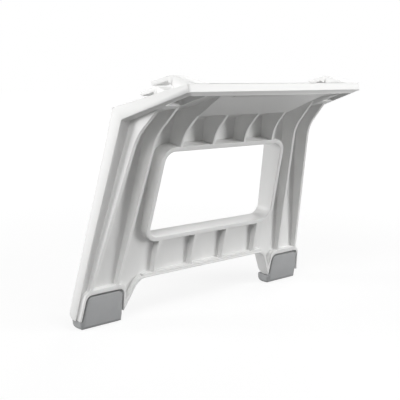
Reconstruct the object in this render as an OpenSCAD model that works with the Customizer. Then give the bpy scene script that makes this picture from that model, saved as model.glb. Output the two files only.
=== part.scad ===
// Desk phone stand: a moulded bracket that hooks under the back of a desk phone, with two rubber feet.
//
// The stand is one L-shaped moulding. Its short upper arm, the plate, lies against the underside of the
// phone, and its long lower arm, the leg, slopes down to the desk. The leg has a window, and the inside
// of the bend is stiffened by ribs. Millimetres, +X across the stand, +Z up. The origin is the middle of
// the plate's outer face. In the side profiles, s runs down the leg from the bend and n runs inwards from
// the outer face.

/* [Overall] */
// How far the leg leans out of the upright, in degrees
leg_lean = 10.3; // [0:0.1:30]
// How far the plate rises towards its free edge, in degrees
plate_rise = 13.6; // [0:0.1:30]
// Full width at the bend
bend_width = 130.9; // [100:0.1:180]
// Full width at the lower end of the leg
foot_width = 160.4; // [110:0.1:220]
// Full width at the free edge of the plate
edge_width = 118.8; // [80:0.1:180]
// Length of the leg's outer face
leg_len = 102.2; // [60:0.1:160]
// Depth of the plate's outer face
plate_len = 46.6; // [30:0.1:80]
// Radius outside the bend
bend_r = 1.4; // [0:0.1:4]
// Radius at the leg's lower front edge
end_r = 3.3; // [0:0.1:4.5]
// Radius of the corners at the free edge of the plate
edge_corner_r = 2.2; // [0.5:0.1:6]

/* [Walls] */
// Thickness of the leg's skin
skin = 5.3; // [2:0.1:8]
// Thickness of the plate in its two recesses
plate_skin = 3.8; // [2:0.1:6]
// Thickness of the plate beside the recesses, at the bend
side_t = 7.7; // [4:0.1:10]
// Thickness of the plate beside the recesses, at its rear margin
side_end_t = 4.85; // [2:0.05:7]
// Width of that sloping margin along the free edge
edge_run = 3.2; // [0:0.1:4]
// Thickness of the plate at its free edge
edge_t = 3.7; // [2:0.1:6]
// Thickness of the plate's outer sides at the bend
outer_t = 7.1; // [4:0.1:10]
// Slope of the underside along those sides
outer_slope = 0.2; // [0:0.05:0.5]
// Distance from the bend where the relief between the long ribs ends
relief_end = 24.2; // [10:0.1:30]
// Slope of that relief
relief_slope = 0.09; // [0:0.01:0.2]
// Thickness of the leg's margin, outside the outer ribs, at the bend
margin_top = 7.4; // [5:0.1:12]
// Distance down the leg where the margin thins to the skin
margin_run = 70; // [20:1:100]

/* [Ribs] */
// Thickness of a rib
rib_t = 1.6; // [1:0.1:4]
// Depth of the ribs at the level of the bend
rib_deep = 21; // [12:0.1:30]
// Slope of the ribs' rear edges above the curve
rib_slope = 0.665; // [0.3:0.005:1.2]
// Depth of the ribs where their long straight edge begins
rib_mid = 13.4; // [8:0.1:20]
// Distance down the leg where that straight edge begins
rib_mid_s = 16; // [8:0.5:30]
// Depth of the ribs and walls at the crossbar
rib_low = 7.85; // [5.5:0.05:12]
// Distance down the leg where the ribs reach that depth
rib_low_s = 84; // [60:1:100]
// Radius between the two straight edges
rib_curve_r = 21; // [4:1:40]
// Inner faces of the outer long ribs from the middle, at the bend
rib_a = 57.4; // [40:0.1:70]
// Their spread for each millimetre down the leg
rib_a_flare = 0.176; // [0:0.001:0.4]
// Centres of the inner long ribs from the middle, at the bend
rib_b = 47.5; // [30:0.1:60]
// Their spread for each millimetre down the leg
rib_b_flare = 0.125; // [0:0.001:0.4]
// Centres of the two pairs of short ribs under the plate
upper_ribs = [10.95, 30.75]; // [0:0.05:40]
// Spread of the outer of them for each millimetre down the leg
upper_flare = 0.09; // [0:0.01:0.3]
// Centres of the two pairs of short ribs in the crossbar
lower_ribs = [11.3, 35.2]; // [0:0.1:42]
// Spread of the outer of them for each millimetre down the leg
lower_flare = 0.06; // [0:0.01:0.3]

/* [Window and crossbar] */
// Distance down the leg to the top of the window
win_top = 19.6; // [12:0.1:40]
// Distance down the leg to the bottom of the window
win_bottom = 63.8; // [45:0.1:80]
// Half the window's width at its top
win_half_top = 40.6; // [20:0.1:46]
// Half the window's width at its bottom
win_half_bottom = 43.6; // [20:0.1:48]
// Corner radius of the window
win_r = 5.5; // [1:0.1:12]
// Thickness of the window's rim
rim_t = 2.35; // [1:0.05:4]
// Height of the crossbar's lower face above the end of the leg
bar_rise = 16.7; // [6:0.1:30]
// Half the width of the gap between the feet, at the crossbar
gap_half = 45; // [30:0.1:52]
// Spread of the gap for each millimetre down the leg
gap_flare = 0.51; // [0.1:0.001:0.8]
// Corner radius of that gap
gap_r = 7; // [2:0.1:12]
// Thickness of the crossbar's lower wall
bar_t = 2.35; // [1:0.05:4]
// Thickness of that wall where it runs down beside a foot
bar_side_t = 1.5; // [1:0.05:4]

/* [Wedge under the plate] */
// Distance of the wedge's lower edge from the bend
wedge_p = 19.4; // [10:0.1:30]
// Depth of the wedge at its lower edge
wedge_n = 9.15; // [6:0.05:14]
// Half its width at the free edge of the plate; it starts at the outer short ribs
wedge_half_edge = 38; // [24:0.1:44]
// Distance down the leg where its lower face meets the leg's skin
wedge_root = 4.7; // [2:0.1:8]
// Outer side of the floor of the recesses beside the wedge, from the middle
recess_half = 45.3; // [40:0.1:50]
// Slope of their outer walls: spread for each millimetre of depth
recess_flare = 1.5; // [0:0.1:3]
// End of those recesses from the bend
recess_end = 42.5; // [30:0.1:46]
// Corner radius of those recesses
recess_r = 2.5; // [0.5:0.1:6]

/* [Hooks] */
// Height of a hook above the plate
hook_h = 6.9; // [5:0.05:12]
// Thickness of a hook's tongue
tongue_t = 2.15; // [1:0.05:3]
// Length of the tongue in front of its root
tongue_len = 9.7; // [4:0.1:16]
// Start of the rear hooks' ramps from the bend
ramp_rear = 46.4; // [40:0.1:46.6]
// Length of a ramp
ramp_len = 12; // [6:0.1:16]
// Distance between the front and the rear hooks
hook_pitch = 21.4; // [16:0.1:22]
// Width of a rear hook
rear_hook_w = 7.7; // [4:0.1:12]
// Outer face of the rear hooks from the middle, at the free edge
rear_hook_x = 54.8; // [40:0.1:57]
// Width of a front hook
front_hook_w = 12; // [4:0.1:16]
// Outer face of the front hooks from the middle
front_hook_x = 48; // [30:0.1:54]
// Near and far ends of the cored pocket under a rear hook, from the bend
core_ends = [28.6, 43.4]; // [20:0.1:45]
// Outer face of that pocket from the middle, at the free edge
core_x = 56.3; // [46:0.1:58]
// Width of that pocket
core_w = 9.2; // [4:0.1:10]
// Plastic left over that pocket
core_roof = 1.5; // [1:0.1:3]

/* [Feet] */
// Width of a foot's pad at the end of the leg
foot_w = 22.65; // [12:0.05:30]
// Setback of a pad from the side of the leg, measured at the end of the leg
foot_set = 3.5; // [2.5:0.05:8]
// Spread of a pad's inner side for each millimetre down the leg; its outer side follows the leg's side
foot_splay = 0.078; // [0:0.001:0.2]
// Height of a pad above the end of the leg
foot_h = 12.35; // [6:0.05:20]
// Corner radius of a pad
foot_r = 2.3; // [1:0.1:6]
// How far a pad stands out behind its pocket's walls
foot_proud = 0.25; // [0:0.05:1]
// Drop of the flat sole below the leg's outer lower corner
sole_drop = 5.75; // [4:0.01:8]
// Radius along the front of a sole
sole_r = 3.8; // [2:0.05:4.5]
// Radius along the back of a sole
sole_back_r = 3; // [1:0.1:4]
// Radius of a sole's two lower corners, seen from behind
sole_end_r = 2.2; // [0.5:0.1:4]
// Radius of the two edges that run down a foot's back
foot_back_r = 2.4; // [0.5:0.1:4]
// How far a sole is wider than its pad on each side
sole_over = 0.95; // [0:0.05:2]
// Gap between a foot and its pocket
foot_gap = 1.15; // [0:0.05:2]
// Thickness of the pocket's inner wall
pocket_t = 1.15; // [0.8:0.05:4]
// Thickness of the wall above a foot
pocket_top_t = 2.45; // [1:0.05:4]
// Corner radius of the pocket's walls
pocket_r = 5; // [2:0.1:8]
// Setback of the pocket's outer wall from the side of the leg
pocket_set = 0.75; // [0:0.05:2]

/* [Colours] */
// Moulding
plastic = "#F1F1F0"; // ["#F1F1F0":white, "#2B2C2E":black]
// Feet
rubber = "#8C8C8C"; // ["#8C8C8C":grey, "#303030":black]

/* [Hidden] */
bend_in = 90 + leg_lean + plate_rise;
half_in = bend_in / 2;
leg_k = (foot_width - bend_width) / 2 / leg_len;
plate_k = (bend_width - edge_width) / 2 / plate_len;
side_k = (side_t - side_end_t) / (plate_len - edge_run);
margin_k = (margin_top - skin) / margin_run;
rib_k = (rib_mid - rib_low) / (rib_low_s - rib_mid_s);
rib_knee = (rib_deep - rib_mid - rib_k * rib_mid_s) / (rib_slope - rib_k);
wedge_half = upper_ribs[1] + rib_t / 2;
wedge_k = (wedge_half_edge - wedge_half) / (plate_len - wedge_p);
bar_bottom = leg_len - bar_rise;
foot_x1 = foot_width / 2 - foot_set;
foot_x0 = foot_x1 - foot_w;
foot_top = leg_len - foot_h;
pad_n = rib_low + foot_proud;
foot_clear = 0.1;
rib_top = 0.13 * plate_len;
out = 0.1 * foot_width;
deep = 0.4 * foot_width;
far = 0.8 * foot_width;
big = 1.3 * foot_width;
tiny = 0.01;

// A point of the plate, p from the bend and n from its outer face, in the leg's side profile
function pl(p, n) = [p * cos(bend_in) + n * sin(bend_in), p * sin(bend_in) - n * cos(bend_in)];

// Corner b of the path a-b-c, rounded to radius r
function corner(a, b, c, r, steps = 8) =
    r <= 0 ? [b] :
    let (u = (a - b) / norm(a - b), v = (c - b) / norm(c - b), half = acos(u * v) / 2)
    let (mid = b + (u + v) / norm(u + v) * r / sin(half), t = r / tan(half))
    let (p0 = b + u * t - mid, p1 = b + v * t - mid)
    let (a0 = atan2(p0.y, p0.x), turn = atan2(p0.x * p1.y - p0.y * p1.x, p0 * p1))
    [for (i = [0:steps]) mid + r * [cos(a0 + turn * i / steps), sin(a0 + turn * i / steps)]];

function rounded(pts, radii) =
    let (m = len(pts))
    [for (i = [0:m - 1]) each corner(pts[(i + m - 1) % m], pts[i], pts[(i + 1) % m], radii[i])];

// The two sides of a foot's pad
function foot_in(s) = foot_x0 + foot_splay * (leg_len - s);
function foot_out(s) = foot_x1 - leg_k * (leg_len - s);

function rib_depth(s) = s < rib_knee ? rib_deep - rib_slope * s : rib_mid - rib_k * (s - rib_mid_s);

// The leg's own axes: x across, y up the leg, z inwards
module on_leg() {
    translate([0, cos(plate_rise) * plate_len / 2, -sin(plate_rise) * plate_len / 2])
        rotate([90 + leg_lean, 0, 0])
            children();
}

// The plate's own axes, inside the leg's: x across, y along the plate, z inwards
module on_plate() {
    rotate([180 - bend_in, 0, 0])
        children();
}

// A side profile of [s, n] points, extruded across the stand
module across(pts, width = big) {
    rotate([90, 0, 90])
        linear_extrude(width, center = true)
            polygon([for (q = pts) [-q[0], q[1]]]);
}

// A plan on the leg of [x, s] points, extruded inwards
module plan(pts, n0, n1) {
    translate([0, 0, n0])
        linear_extrude(n1 - n0)
            polygon([for (q = pts) [q[0], -q[1]]]);
}

module both() {
    children();
    mirror([1, 0, 0])
        children();
}

// The stand's outline, drawn along the line that halves the bend, so that its sides meet there
module outline(inset = 0) {
    leg_u = far;
    plate_u = deep;
    w0 = bend_width / 2 - inset;
    w1 = w0 + leg_k / sin(half_in) * leg_u;
    w2 = w0 - plate_k / sin(half_in) * plate_u;
    rotate([90 - half_in, 0, 0])
        translate([0, 0, -out])
            linear_extrude(far)
                polygon([[w0, 0], [w1, -leg_u], [-w1, -leg_u], [-w0, 0], [-w2, plate_u], [w2, plate_u]]);
}

// Everything inside the outer faces and short of the two free ends
module envelope() {
    across(rounded(
        [[leg_len, 0], [0, 0], pl(plate_len, 0), pl(plate_len, deep), [leg_len - 0.065 * deep, deep]],
        [end_r, bend_r, 0.6, 0, 0]));
}

// Rounds the plate's free corners, and leaves the rest of the stand alone
module free_corners() {
    p0 = 0.26 * plate_len;
    p1 = 0.43 * plate_len;
    w0 = edge_width / 2 + side_t * plate_k * 0.65 + tiny;
    w1 = w0 + plate_k * (plate_len - p1);
    on_plate()
        translate([0, 0, -out])
            linear_extrude(far)
                polygon(rounded(
                    [[big, -deep], [big, p0], [w1, p1], [w0, plate_len], [-w0, plate_len], [-w1, p1], [-big, p0],
                        [-big, -deep]],
                    [0, 0, 0, edge_corner_r, edge_corner_r, 0, 0, 0]));
}

// Skin of the leg and of the plate, with the plate's thick sides and its two recesses
module skins() {
    translate([-big / 2, -far, 0])
        cube([big, far + deep, skin]);
    difference() {
        across([pl(-out, -1), pl(deep, -1), pl(deep, edge_t), pl(plate_len, edge_t),
            pl(plate_len - edge_run, side_end_t), pl(-out, side_t + side_k * out)]);
        both() {
            recess();
            relief();
            outer_margin();
        }
    }
}

// Shallow relief of the underside between the two long ribs of one side
module relief() {
    n1 = side_t - side_k * relief_end;
    x0 = rib_b + rib_t / 2;
    intersection() {
        across([pl(relief_end, n1), pl(-out, n1 - relief_slope * (relief_end + out)), pl(-out, out),
            pl(relief_end, out)]);
        plan([[x0 - rib_b_flare * out, -out], [rib_a - rib_a_flare * out, -out], [rib_a + rib_a_flare * out, out],
            [x0 + rib_b_flare * out, out]], 0, deep);
    }
}

// Sloping margin of the underside along one side of the plate
module outer_margin() {
    a = [bend_width / 2 + plate_k * outer_t / tan(half_in), 0, outer_t];
    b = [edge_width / 2 + plate_k * edge_t / tan(half_in), plate_len, edge_t];
    v = b - a;
    on_plate()
        translate(a)
            rotate([0, 0, atan(-v.x / v.y)])
                rotate([atan(v.z / norm([v.x, v.y])), 0, 0])
                    rotate([90, 0, 0])
                        linear_extrude(big, center = true)
                            polygon([[out, -outer_slope * out], [-out / 2, outer_slope * out / 2], [-out / 2, out],
                                [out, out]]);
}

module recess() {
    w = wedge_half - 3;
    wide = recess_half + recess_flare * (side_t - side_k * recess_end - plate_skin);
    on_plate()
        intersection() {
            translate([0, recess_end, 0])
                rotate([90, 0, 0])
                    linear_extrude(recess_end + out)
                        polygon([[w, plate_skin], [recess_half, plate_skin],
                            [recess_half + recess_flare * (out - plate_skin), out], [w, out]]);
            linear_extrude(out)
                polygon(rounded(
                    [[w, -out], [big, -out], [big, 0.6 * recess_end], [wide, recess_end], [w, recess_end]],
                    [0, 0, 0, recess_r, 0]));
        }
}

// Solid wedge under the middle of the plate
module wedge() {
    w1 = wedge_half + wedge_k * (deep - wedge_p);
    fall = (wedge_n - edge_t) / (plate_len - wedge_p);
    intersection() {
        across([pl(0, 0), pl(deep, 0), pl(deep, edge_t - fall * (deep - plate_len)), pl(wedge_p, wedge_n),
            [wedge_root, skin], [wedge_root, 0]]);
        on_plate()
            linear_extrude(far, center = true)
                polygon([[wedge_half, -out], [wedge_half, wedge_p], [w1, deep], [-w1, deep],
                    [-wedge_half, wedge_p], [-wedge_half, -out]]);
    }
}

// Space that the ribs and walls fill, up to their curved rear edges
module rib_space(top, bottom) {
    across(rounded(
        [[bottom, 1], [bottom, max(rib_low, rib_depth(bottom))], [rib_low_s, rib_low],
            [rib_knee, rib_depth(rib_knee)], [top, rib_depth(top)], pl(plate_len / 4, 2), [1, 1]],
        [0, 0, 0, rib_curve_r, 0, 0, 0]));
}

// A rib from s0 to s1 whose near face stands at x0, spreading by k
module strip(x0, k, t, s0, s1) {
    plan([[x0 + k * s0, s0], [x0 + t + k * s0, s0], [x0 + t + k * s1, s1], [x0 + k * s1, s1]], 0, deep);
}

module ribs() {
    intersection() {
        rib_space(-rib_top, foot_top - 1);
        union() {
            both() {
                strip(rib_a, rib_a_flare, rib_t + 0.2, -out, foot_top - 1);
                strip(rib_b - rib_t / 2, rib_b_flare, rib_t, -out, foot_top - 1);
                strip(upper_ribs[0] - rib_t / 2, 0, rib_t, -out, win_top - 1);
                strip(upper_ribs[1] - rib_t / 2, upper_flare, rib_t, -out, win_top - 1);
                strip(lower_ribs[0] - rib_t / 2, 0, rib_t, win_bottom + 1, bar_bottom - 1);
                strip(lower_ribs[1] - rib_t / 2 - lower_flare * win_bottom, lower_flare, rib_t,
                    win_bottom + 1, bar_bottom - 1);
            }
        }
    }
}

function window_pts(grow) =
    let (k = (win_half_bottom - win_half_top) / (win_bottom - win_top))
    let (w0 = win_half_top + grow * (1 - k), w1 = win_half_bottom + grow * (1 + k))
    rounded(
        [[w0, win_top - grow], [w1, win_bottom + grow], [-w1, win_bottom + grow], [-w0, win_top - grow]],
        [for (i = [0:3]) win_r + grow]);

// Gap between the feet, grown upwards and sideways; its corners turn into the feet with a sweep
function gap_pts(up, side) =
    let (low = far, k = norm([1, gap_flare]))
    let (w0 = gap_half + side * k - up * gap_flare, w1 = gap_half + gap_flare * (low - bar_bottom) + side * k)
    rounded(
        [[w0, bar_bottom - up], [w1, low], [-w1, low], [-w0, bar_bottom - up]],
        [gap_r + up, 0, 0, gap_r + up]);

// Rim of the window and lower wall of the crossbar
module rims() {
    intersection() {
        rib_space(-rib_top, far);
        union() {
            plan(window_pts(rim_t), 0, deep);
            plan(gap_pts(bar_t, bar_side_t), 0, deep);
        }
    }
}

// Margins of the leg outside the outer ribs, thicker towards the bend
module margins() {
    intersection() {
        across([[far, 0], [far, skin], [margin_run, skin], [-rib_top, margin_top + margin_k * rib_top],
            [-rib_top, 0]]);
        both()
            strip(rib_a + rib_t / 2, rib_a_flare, big, -out, far);
    }
}

// Walled pocket that holds a foot
module pocket_block() {
    s0 = foot_top - foot_gap - pocket_top_t;
    x1 = bend_width / 2 + leg_k * (s0 - 0.65 * rib_low) - pocket_set;
    wall = foot_gap + pocket_t;
    plan(rounded(
        [[foot_in(s0) - wall, s0], [x1, s0], [x1 + leg_k * (far - s0), far], [foot_in(far) - wall, far]],
        [pocket_r - 2, pocket_r, 0, 0]), 0, rib_low);
}

module pocket_cut() {
    s0 = foot_top - foot_gap;
    r = foot_r + foot_gap;
    plan(rounded(
        [[foot_in(s0) - foot_gap, s0], [foot_out(s0) + foot_gap, s0], [foot_out(far) + foot_gap, far],
            [foot_in(far) - foot_gap, far]],
        [r, r, 0, 0]), skin, deep);
}

// Side profile of a hook, its ramp starting at p
module hook_profile(p) {
    top = p - ramp_len - 2.1;
    tip = top - tongue_len - 1.4;
    low = -hook_h + tongue_t;
    polygon(rounded(
        [[p, 0], [p - ramp_len, -hook_h + 0.5], [top, -hook_h], [tip, -hook_h], [tip, low], [top - 1.4, low],
            [top - 1.4, low + 0.6], [top + 0.6, low + 2.6], [top + 1.7, 0.5], [p, 0.5]],
        [0, 1.2, 1.2, tongue_t * 0.45, tongue_t * 0.45, 0, 0.4, 0.6, 0, 0]));
}

// A hook whose outer face stands at x at the plate's free edge and runs at slope k
module hook(p, x, w, k) {
    on_plate()
        intersection() {
            rotate([90, 0, 90])
                linear_extrude(big, center = true)
                    hook_profile(p);
            translate([0, 0, -out])
                linear_extrude(2 * out)
                    polygon([[x, plate_len], [x + k * deep, plate_len - deep], [x - w + k * deep, plate_len - deep],
                        [x - w, plate_len]]);
        }
}

// Cored pocket in the underside of the plate, below a rear hook
module core() {
    on_plate()
        translate([0, 0, core_roof])
            linear_extrude(out)
                polygon(rounded(
                    [for (q = [[0, core_ends[1]], [0, core_ends[0]], [core_w, core_ends[0]], [core_w, core_ends[1]]])
                        [core_x + plate_k * (plate_len - q[1]) - q[0], q[1]]],
                    [0.8, 0.8, 0.8, 0.8]));
}

module stand() {
    color(plastic)
        on_leg() {
            difference() {
                intersection() {
                    outline();
                    envelope();
                    free_corners();
                    union() {
                        skins();
                        wedge();
                        margins();
                        ribs();
                        rims();
                        both()
                            pocket_block();
                    }
                }
                plan(window_pts(0), -out, deep);
                plan(gap_pts(0, 0), -out, deep);
                both() {
                    pocket_cut();
                    core();
                }
            }
            both() {
                hook(ramp_rear, rear_hook_x, rear_hook_w, plate_k);
                hook(ramp_rear - hook_pitch, front_hook_x, front_hook_w, 0);
            }
        }
}

// Profile of the sole: flat and level underneath, rounded in front and behind
function sole_pts() =
    let (end = function(n) leg_len + (sole_drop - n * sin(leg_lean)) / cos(leg_lean))
    rounded(
        [[leg_len + foot_clear, -foot_clear], [end(-foot_clear), -foot_clear], [end(pad_n), pad_n],
            [leg_len + foot_clear, pad_n]],
        [0.4, sole_r, sole_back_r, 0]);

// Rubber foot: a pad in the pocket, with a wider sole below the end of the leg
module foot() {
    low = leg_len + 0.5;
    x0 = foot_x0 - sole_over;
    x1 = foot_x1 + sole_over;
    color(rubber)
        on_leg()
            intersection() {
                union() {
                    plan(rounded(
                        [[foot_in(foot_top), foot_top], [foot_out(foot_top), foot_top],
                            [foot_out(low), low], [foot_in(low), low]],
                        [foot_r, foot_r, 0, 0]), skin, pad_n);
                    intersection() {
                        across(sole_pts(), far * 2);
                        translate([0, -leg_len, 0])
                            rotate([-leg_lean, 0, 0])
                                linear_extrude(far, center = true)
                                    polygon(rounded([[x0, 3], [x1, 3], [x1, -sole_drop], [x0, -sole_drop]],
                                        [0, 0, sole_end_r, sole_end_r]));
                    }
                }
                rotate([90, 0, 0])
                    linear_extrude(big * 2, center = true)
                        polygon(rounded([[x0, -1], [x1, -1], [x1, pad_n], [x0, pad_n]],
                            [0, 0, foot_back_r, foot_back_r]));
            }
}

stand();
mirror([1, 0, 0]) foot();  // foot_left
foot();  // foot_right
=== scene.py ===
# Desk phone stand, seen from behind and to the left, without the phone that it holds: one white
# moulding and its two rubber feet, on a white ground.
import math

import bpy
from mathutils import Matrix, Vector


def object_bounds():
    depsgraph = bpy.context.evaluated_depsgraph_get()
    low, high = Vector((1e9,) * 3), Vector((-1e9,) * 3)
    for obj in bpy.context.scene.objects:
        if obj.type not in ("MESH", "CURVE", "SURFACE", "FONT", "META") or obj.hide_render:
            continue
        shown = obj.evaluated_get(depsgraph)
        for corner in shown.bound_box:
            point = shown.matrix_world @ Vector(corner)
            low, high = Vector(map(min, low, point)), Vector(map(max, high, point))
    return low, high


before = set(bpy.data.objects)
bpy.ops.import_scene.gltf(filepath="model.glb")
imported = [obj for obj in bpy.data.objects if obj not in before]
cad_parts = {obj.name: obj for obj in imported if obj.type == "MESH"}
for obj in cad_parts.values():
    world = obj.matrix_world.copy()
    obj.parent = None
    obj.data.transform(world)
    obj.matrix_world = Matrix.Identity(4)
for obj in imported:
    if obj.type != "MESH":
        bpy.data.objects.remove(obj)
cad_low, cad_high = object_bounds()
scene = bpy.context.scene
scene.view_settings.view_transform = "Standard"


# Camera: its place and lens were solved from the photograph's edges. It stands level behind the stand, to
# its left and a little above the bend.
camera_data = bpy.data.cameras.new("camera")
camera_data.lens = 70.3
camera_data.sensor_width = 36
camera_data.clip_start = 0.01
camera_data.clip_end = 20
camera = bpy.data.objects.new("camera", camera_data)
scene.collection.objects.link(camera)
ahead = Vector((0.66984, 0.72645, -0.15359)).normalized()
right = Vector((0.73517, -0.67788, 0)).normalized()
turn = Matrix((right, right.cross(ahead), -ahead)).transposed()
camera.matrix_world = Matrix.Translation((-0.27904, -0.26795, 0.00746)) @ turn.to_4x4()
scene.camera = camera


# Stand: one piece of white ABS, injection moulded: the plate with its four hooks, the leg with its window,
# and the ribs and walls behind them. The mould is spark eroded, so the skin is satin with a very fine
# grain, and every edge leaves it slightly eased.
MM = 0.001


def srgb(code):
    """A hex colour as linear RGBA."""
    parts = [int(code[i : i + 2], 16) / 255 for i in (1, 3, 5)]
    return (*[p / 12.92 if p <= 0.04045 else ((p + 0.055) / 1.055) ** 2.4 for p in parts], 1)


def add(tree, kind, values=(), links=(), **settings):
    """Adds a node with its settings, the values of its inputs and the links into them."""
    node = tree.nodes.new("ShaderNode" + kind)
    for name, value in settings.items():
        setattr(node, name, value)
    for name, value in values:
        node.inputs[name].default_value = value
    for name, source in links:
        tree.links.new(source, node.inputs[name])
    return node


def dress(part, material, ease, tight):
    """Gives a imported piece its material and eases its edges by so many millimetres. A tight easing
    shrinks where faces are small."""
    part.data.materials.clear()
    part.data.materials.append(material)
    weld = part.modifiers.new("weld", "WELD")
    weld.merge_threshold = 0.02 * MM
    edges = part.modifiers.new("eased edges", "BEVEL")
    edges.width = ease * MM
    edges.segments = 3
    edges.limit_method = "ANGLE"
    edges.angle_limit = math.radians(32)
    edges.miter_outer = "MITER_ARC"
    edges.use_clamp_overlap = tight
    edges.harden_normals = True
    for face in part.data.polygons:
        face.use_smooth = True


# ABS, white pigment in the plastic. Its index is 1.53, and a spark-eroded skin is satin, roughness 0.45
# to 0.55. It gives the eye a soft even white, with faint clouds some 30 mm wide where the melt flowed.
abs_white = bpy.data.materials.new("white_abs_spark_eroded")
abs_white.use_nodes = True
tree = abs_white.node_tree
shader = tree.nodes["Principled BSDF"]
shader.inputs["IOR"].default_value = 1.53
place = add(tree, "TexCoord").outputs["Object"]
clouds = add(tree, "TexNoise", [("Scale", 1 / (30 * MM)), ("Detail", 3)], [("Vector", place)]).outputs["Fac"]
shades = [("A", srgb("#E0E0DF")), ("B", srgb("#E4E4E3"))]
colour = add(tree, "Mix", shades, [("Factor", clouds)], data_type="RGBA")
tree.links.new(colour.outputs["Result"], shader.inputs["Base Color"])
gloss = add(tree, "MapRange", [("To Min", 0.45), ("To Max", 0.55)], [("Value", clouds)])
tree.links.new(gloss.outputs["Result"], shader.inputs["Roughness"])
# The grain is about 0.1 mm across, too fine to show, and is drawn at 0.5 mm. It breaks up the sheen.
fine = [("Scale", 1 / (0.5 * MM)), ("Detail", 3), ("Roughness", 0.6)]
grain = add(tree, "TexNoise", fine, [("Vector", place)]).outputs["Fac"]
relief = add(tree, "Bump", [("Strength", 0.25), ("Distance", 0.03 * MM)], [("Height", grain)])
tree.links.new(relief.outputs["Normal"], shader.inputs["Normal"])
dress(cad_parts["stand"], abs_white, 0.16, False)


# Feet: two pieces of grey rubber, compression moulded, each a pad glued into a walled pocket of the leg,
# with a thicker sole that wraps under the leg's end and stands flat on the desk.
# Synthetic rubber, grey with carbon and chalk. Its index is 1.5, and its moulded skin is matt, roughness
# 0.7 to 0.85. It gives the eye a flat grey with faint blooms some 6 mm wide.
rubber = bpy.data.materials.new("grey_rubber_moulded")
rubber.use_nodes = True
tree = rubber.node_tree
shader = tree.nodes["Principled BSDF"]
shader.inputs["IOR"].default_value = 1.5
shader.inputs["Specular IOR Level"].default_value = 0.35
place = add(tree, "TexCoord").outputs["Object"]
bloom = add(tree, "TexNoise", [("Scale", 1 / (6 * MM)), ("Detail", 4)], [("Vector", place)]).outputs["Fac"]
shades = [("A", srgb("#9E9FA0")), ("B", srgb("#A8A9AA"))]
colour = add(tree, "Mix", shades, [("Factor", bloom)], data_type="RGBA")
tree.links.new(colour.outputs["Result"], shader.inputs["Base Color"])
gloss = add(tree, "MapRange", [("To Min", 0.7), ("To Max", 0.85)], [("Value", bloom)])
tree.links.new(gloss.outputs["Result"], shader.inputs["Roughness"])
# The skin's pebbles are about 0.15 mm across, too fine to show, and are drawn at 0.4 mm.
pebbles = add(tree, "TexVoronoi", [("Scale", 1 / (0.4 * MM))], [("Vector", place)]).outputs["Distance"]
relief = add(tree, "Bump", [("Strength", 0.35), ("Distance", 0.04 * MM)], [("Height", pebbles)])
tree.links.new(relief.outputs["Normal"], shader.inputs["Normal"])
for name in ("foot_left", "foot_right"):
    dress(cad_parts[name], rubber, 0.4, True)


# Ground: a sheet of paper under the soles, white where it is seen directly or in a reflection, with the
# stand's faint shadow. To the light it is a mid grey, so that it doesn't fill the hollows with light. It
# glows a little less within a metre, where the lamps reach it, so that it is evenly white.
def seen(tree):
    """1 where something is seen by the camera, in a reflection or through glass, and 0 for its light."""
    path = add(tree, "LightPath").outputs
    either = path["Is Camera Ray"]
    for kind in ("Is Glossy Ray", "Is Transmission Ray"):
        either = add(tree, "Math", [], [(0, either), (1, path[kind])], operation="MAXIMUM").outputs[0]
    return either


sheet = bpy.data.meshes.new("ground")
reach = 6
corners = [(-reach, -reach, 0), (reach, -reach, 0), (reach, reach, 0), (-reach, reach, 0)]
sheet.from_pydata(corners, [], [(0, 1, 2, 3)])
ground = bpy.data.objects.new("ground", sheet)
ground.location.z = cad_low.z
scene.collection.objects.link(ground)
paper = bpy.data.materials.new("paper_ground")
paper.use_nodes = True
tree = paper.node_tree
grey = add(tree, "BsdfDiffuse", [("Color", srgb("#8D8D8D"))])
white = add(tree, "BsdfDiffuse", [("Color", srgb("#737373"))])
place = add(tree, "TexCoord").outputs["Object"]
away = add(tree, "VectorMath", [], [(0, place)], operation="LENGTH").outputs["Value"]
fade = add(tree, "MapRange", [("From Min", 0.2), ("From Max", 0.9), ("To Min", 0.84)], [("Value", away)])
glow = add(tree, "Emission", [], [("Strength", fade.outputs["Result"])])
lit = add(tree, "AddShader", [], [(0, white.outputs[0]), (1, glow.outputs[0])])
pick = add(tree, "MixShader", [], [(0, seen(tree)), (1, grey.outputs[0]), (2, lit.outputs[0])])
tree.links.new(pick.outputs[0], tree.nodes["Material Output"].inputs["Surface"])
sheet.materials.append(paper)


# Light: five soft round lamps in a dark room, each given by its compass bearing from the phone's front, its
# height in degrees and its watts. The room is white where it is seen directly or in a reflection.
world = bpy.data.worlds.new("studio")
scene.world = world
world.use_nodes = True
tree = world.node_tree
room = tree.nodes["Background"]
room.inputs["Color"].default_value = (1, 1, 1, 1)
room.inputs["Strength"].default_value = 0.02
walls = add(tree, "Background", [("Color", (1, 1, 1, 1)), ("Strength", 1)])
pick = add(tree, "MixShader", [], [(0, seen(tree)), (1, room.outputs[0]), (2, walls.outputs[0])])
tree.links.new(pick.outputs[0], tree.nodes["World Output"].inputs["Surface"])

middle = (cad_low + cad_high) / 2
lamp_distance = 1.1
lamp_width = 0.55
for name, bearing, height, watts in (
    ("left_key", 240, 35, 4.9),
    ("rear_top", 180, 60, 4.6),
    ("rear_right", 140, 8, 8.3),
    ("front_left", 310, 8, 8.4),
    ("front_right", 60, 35, 2.4),
):
    lamp_data = bpy.data.lights.new(name, "AREA")
    lamp_data.shape = "DISK"
    lamp_data.size = lamp_width
    lamp_data.energy = watts
    lamp = bpy.data.objects.new(name, lamp_data)
    a, e = math.radians(bearing), math.radians(height)
    spot = Vector((math.cos(e) * math.sin(a), math.cos(e) * math.cos(a), math.sin(e))) * lamp_distance
    lamp.location = middle + spot
    lamp.rotation_mode = "QUATERNION"
    lamp.rotation_quaternion = (-spot).to_track_quat("-Z", "Y")
    scene.collection.objects.link(lamp)
